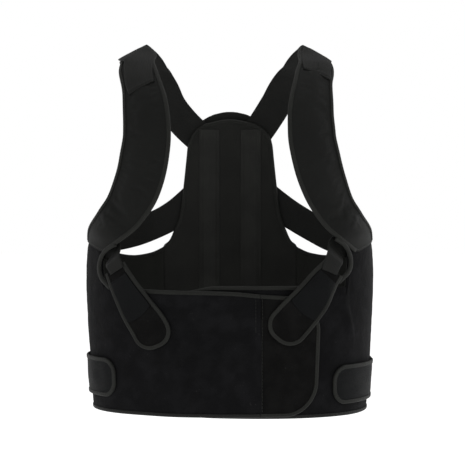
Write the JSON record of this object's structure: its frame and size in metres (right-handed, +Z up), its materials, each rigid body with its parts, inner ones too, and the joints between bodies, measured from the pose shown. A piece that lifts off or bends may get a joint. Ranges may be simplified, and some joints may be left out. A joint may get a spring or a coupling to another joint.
{
  "type": "posture corrector",
  "caption": "Worn back brace: padded back panel with stay channels, wrap-over belt, two padded shoulder straps and elastic straps that cross behind and end in hanging tabs.",
  "frame": {"origin": "in the middle of the body, level with the top of the shoulders that carry the straps", "axes": "+Z up along the spine, -Y towards the front of the wearer, +X towards the right in the front view"},
  "size_m": [0.3435, 0.2383, 0.4359],
  "materials": {
    "knit": "matt padded knit",
    "webbing": "woven elastic webbing",
    "plush": "brushed loop pile",
    "binding": "ribbed edge binding tape",
    "hook": "hook fastener tape"
  },
  "bodies": {
    "root": {"back_panel": "knit", "back_cover": "knit", "shoulder_pad_left": "knit", "shoulder_pad_right": "knit", "stay_channel_left": "webbing", "stay_channel_right": "webbing", "cross_strap_left": "webbing", "cross_strap_right": "webbing", "pull_band_left": "webbing", "pull_band_right": "webbing", "wing_left": "plush", "wing_right": "plush", "closure_tab": "plush", "tongue_left": "plush", "tongue_right": "plush", "back_panel_binding": "binding", "shoulder_pad_binding_left": "binding", "shoulder_pad_binding_right": "binding", "wing_top_binding_left": "binding", "wing_top_binding_right": "binding", "wing_front_binding_left": "binding", "wing_front_binding_right": "binding", "wing_hem_binding_left": "binding", "wing_hem_binding_right": "binding", "closure_binding": "binding", "strap_loop_left": "binding", "strap_loop_right": "binding", "pull_tab_binding_left": "binding", "pull_tab_binding_right": "binding", "tongue_binding_left": "binding", "tongue_binding_right": "binding", "pull_tab_left": "hook", "pull_tab_right": "hook", "tongue_hook_left": "hook", "tongue_hook_right": "hook"}
  },
  "joints": []
}
